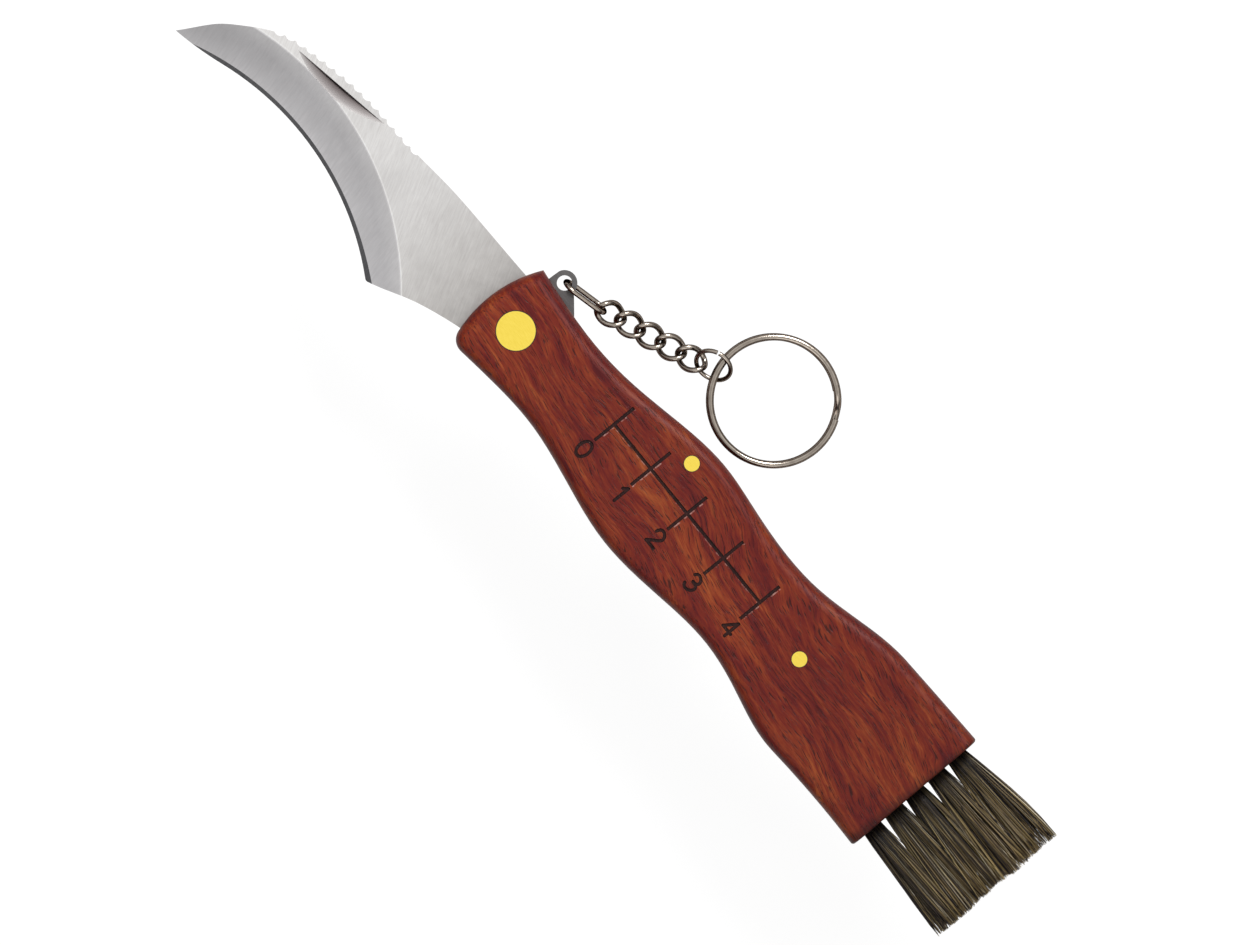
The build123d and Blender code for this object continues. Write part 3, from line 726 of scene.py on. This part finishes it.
# Its colour: a shade, made brighter towards the tip and dark at the root
SHADES = [
    rgb(78, 64, 44), rgb(110, 93, 60), rgb(130, 111, 72), rgb(146, 127, 85), rgb(124, 104, 70),
    rgb(27, 20, 23), rgb(38, 30, 28), rgb(24, 18, 20),
]
LIGHT_SHADE = rgb(204, 190, 160)
LIGHT_SHARE = 0.11
ROOT_SHADE = rgb(20, 16, 20)
ROOT_FADE = 2.9
STRAND_BRIGHT = (0.7, 1.3)
BRIGHT_AT_ROOT = 0.72
BRIGHT_GAIN = 0.62

row_axis = Vector((-math.sin(BRUSH_TILT), math.cos(BRUSH_TILT), 0))
out_axis = Vector((math.cos(BRUSH_TILT), math.sin(BRUSH_TILT), 0))
up_axis = Vector((0, 0, 1))
brush_origin = Vector(BRUSH_FACE)

Clump = namedtuple("Clump", "across up shift_across shift_up longer bright")
Strand = namedtuple("Strand", "turn across up tip_across tip_up length bow_across bow_up width shade bright")


def disc_point(number, count, turn):
    """A point of the unit disc, for points that fill it evenly."""
    reach = math.sqrt((number + 0.5) / count)
    return reach * math.cos(turn), reach * math.sin(turn)


def between(first, second, share):
    return first * (1 - share) + second * share


def make_clumps(rng):
    """Places in the unit disc, each with its own shift, extra length and brightness."""
    clumps = []
    for number in range(CLUMPS):
        turn = number * GOLDEN_TURN + rng.uniform(-CLUMP_TURN, CLUMP_TURN)
        across, up = disc_point(number, CLUMPS, turn)
        shift_across = rng.gauss(0, CLUMP_SHIFT_ACROSS)
        shift_up = rng.gauss(0, CLUMP_SHIFT_UP)
        longer = rng.gauss(0, CLUMP_LONGER)
        bright = rng.uniform(*CLUMP_BRIGHT)
        clumps.append(Clump(across, up, shift_across, shift_up, longer, bright))
    return clumps


def strand_length(rng, across, clump, at_free_side):
    length = TUFT_LENGTH + LENGTH_EXTRA + clump.longer - SIDE_SHORTER * across**4 + rng.gauss(0, LENGTH_STRAY)
    if rng.random() < SHORT_SHARE:
        length -= rng.uniform(*SHORTER)
    length = min(length, TUFT_LENGTH + LENGTH_MARGIN)
    if at_free_side and abs(across) > CORNER_FROM:
        length -= CORNER_SHORTER * (abs(across) - CORNER_FROM) / (1 - CORNER_FROM) * rng.random()
    return length


def draw_strand(rng, number, tuft_number, clumps):
    """The random shape and colour of one strand, measured from the middle of its tuft."""
    turn = number * GOLDEN_TURN + rng.uniform(-STRAND_TURN, STRAND_TURN)
    across, up = disc_point(number, STRANDS, turn)
    at_first_side = tuft_number == 0 and across < 0
    at_last_side = tuft_number == TUFT_COUNT - 1 and across > 0
    clump = min(clumps, key=lambda c: (c.across - across) ** 2 + (c.up - up) ** 2)

    gather = rng.uniform(*GATHER)
    stray = WILD_STRAY if rng.random() < WILD_SHARE else TAME_STRAY
    reach = ROOT_REACH * (FAN_FIRST_SIDE if at_first_side else FAN_ACROSS)
    tip_across = reach * between(across, clump.across, gather) + clump.shift_across + rng.gauss(0, stray)
    tip_across = max(-reach - TIP_MARGIN, min(reach + TIP_MARGIN, tip_across))
    tip_up = ROOT_REACH * FAN_UP * between(up, clump.up, gather) + clump.shift_up + rng.gauss(0, TIP_STRAY_UP)

    length = strand_length(rng, across, clump, at_first_side)
    bow_across = rng.gauss(0, BOW_ACROSS)
    bow_up = rng.gauss(0, BOW_UP)
    if at_last_side:
        bow_across += SIDE_BULGE * across
    width = rng.uniform(*HALF_WIDTH)
    shade = LIGHT_SHADE if rng.random() < LIGHT_SHARE else rng.choice(SHADES)
    bright = clump.bright * rng.uniform(*STRAND_BRIGHT)
    return Strand(turn, across, up, tip_across, tip_up, length, bow_across, bow_up, width, shade, bright)


def strand_center(strand, root_middle, tip_middle, share):
    """The middle of the strand at a share of its length from the root."""
    swell = share**SWELL_POWER
    bow = math.sin(math.pi * share) * share
    row = between(root_middle + ROOT_REACH * strand.across, tip_middle + strand.tip_across, swell)
    rise = between(ROOT_REACH * strand.up, strand.tip_up, swell)
    out = (strand.length + ROOT_DEPTH) * share - ROOT_DEPTH
    place = row_axis * (row + strand.bow_across * bow) + up_axis * (rise + strand.bow_up * bow)
    return brush_origin + place + out_axis * out


def strand_color(strand, share):
    root = max(0.0, 1.0 - share * ROOT_FADE)
    bright = strand.bright * (BRIGHT_AT_ROOT + BRIGHT_GAIN * share)
    return [between(bright * shade, dark, root) for shade, dark in zip(strand.shade[:3], ROOT_SHADE)]


def add_strand(strand, root_middle, tip_middle, vertices, faces, shades):
    """A three-sided bent rod with both ends closed."""
    base = len(vertices)
    for step in range(STRAND_STEPS + 1):
        share = step / STRAND_STEPS
        center = strand_center(strand, root_middle, tip_middle, share)
        half_width = strand.width * (1.0 - TAPER_RATE * max(0.0, share - TAPER_FROM))
        for corner in range(STRAND_CORNERS):
            angle = strand.turn + corner * math.tau / STRAND_CORNERS
            vertices.append(center + (row_axis * math.cos(angle) + up_axis * math.sin(angle)) * half_width)
        shades.extend([strand_color(strand, share)] * STRAND_CORNERS)
    for step in range(STRAND_STEPS):
        low = base + STRAND_CORNERS * step
        high = low + STRAND_CORNERS
        for corner in range(STRAND_CORNERS):
            other = (corner + 1) % STRAND_CORNERS
            faces.append((low + corner, low + other, high + other, high + corner))
    top = base + STRAND_CORNERS * STRAND_STEPS
    faces.append((top, top + 1, top + 2))
    faces.append((base + 2, base + 1, base))


for tuft_number in range(TUFT_COUNT):
    rng = random.Random(41 + tuft_number)
    clumps = make_clumps(rng)
    from_middle = tuft_number - (TUFT_COUNT - 1) / 2
    root_middle = from_middle * TUFT_PITCH
    tip_middle = root_middle + from_middle * TUFT_SPREAD
    vertices, faces, shades = [], [], []
    for strand_number in range(STRANDS):
        strand = draw_strand(rng, strand_number, tuft_number, clumps)
        add_strand(strand, root_middle, tip_middle, vertices, faces, shades)
    piece = mesh_piece(f"bristles_{tuft_number + 1}", vertices, faces, bristle, "handle")
    layer = piece.data.color_attributes.new("shade", "FLOAT_COLOR", "POINT")
    for vertex_number, color in enumerate(shades):
        layer.data[vertex_number].color = (*color, 1.0)
    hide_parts(f"tuft_{tuft_number + 1}")


# Floor: it lies below the ring's lowest reach at any pose, and its own glow keeps it pale in the picture

FLOOR_DROP = 29.0
FLOOR_HALF = 3.0
FLOOR_DIFFUSE = grey(0.17)
FLOOR_GLOW = 0.88


def floor_material():
    material, n = new_material("floor")
    path = n.add("ShaderNodeLightPath")
    seen = n.math("MAXIMUM", path.outputs["Is Camera Ray"], path.outputs["Is Glossy Ray"])
    seen = n.math("MAXIMUM", seen, path.outputs["Is Transmission Ray"])
    diffuse = n.add("ShaderNodeBsdfDiffuse")
    diffuse.inputs["Color"].default_value = FLOOR_DIFFUSE
    glow = n.add("ShaderNodeEmission")
    glow.inputs["Color"].default_value = WHITE
    n.link(n.math("MULTIPLY", seen, FLOOR_GLOW), glow.inputs["Strength"])
    both = n.add("ShaderNodeAddShader")
    n.link(diffuse.outputs[0], both.inputs[0])
    n.link(glow.outputs[0], both.inputs[1])
    n.link(both.outputs[0], n.add("ShaderNodeOutputMaterial").inputs["Surface"])
    return material


floor_corners = [(x * FLOOR_HALF, y * FLOOR_HALF, 0) for x, y in ((-1, -1), (1, -1), (1, 1), (-1, 1))]
floor_mesh = bpy.data.meshes.new("floor")
floor_mesh.from_pydata(floor_corners, [], [(0, 1, 2, 3)])
floor_mesh.materials.append(floor_material())
floor = place_object("floor", floor_mesh)
floor.location.z = -FLOOR_DROP * MM


# Surroundings: bright all round above, dimmer straight overhead and on one side, dark below

SKY_STOPS = (
    (0.0, grey(0.07)),
    (0.30, grey(0.20)),
    (0.60, grey(0.92)),
    (0.86, grey(0.95)),
    (1.0, grey(0.62)),
)
SIDE_STOPS = ((0.10, grey(0.66)), (0.90, WHITE))

world = bpy.data.worlds.new("world")
bpy.context.scene.world = world
n = Nodes(world)
x, y, z = n.split(n.add("ShaderNodeTexCoord").outputs["Generated"])
sky = n.ramp(z, *SKY_STOPS)
side = n.ramp(n.math("MULTIPLY_ADD", y, 0.5, 0.5), *SIDE_STOPS)
background = n.add("ShaderNodeBackground")
n.link(n.mix(1.0, sky, side, "MULTIPLY"), background.inputs["Color"])
n.link(background.outputs[0], n.add("ShaderNodeOutputWorld").inputs["Surface"])


# Lamps, aimed at the handle: places and sizes in metres, powers in watts

LAMP_TARGET = Vector((0.03, 0, 0))


def lamp(name, place, size, power):
    data = bpy.data.lights.new(name, "AREA")
    data.shape = "DISK"
    data.size = size
    data.energy = power
    light = place_object(name, data)
    light.location = place
    light.rotation_euler = (LAMP_TARGET - Vector(place)).to_track_quat("-Z", "Y").to_euler()


lamp("key", (-0.35, 0.75, 0.95), 0.5, 11.0)
lamp("fill", (0.5, -0.6, 0.8), 0.8, 1.5)
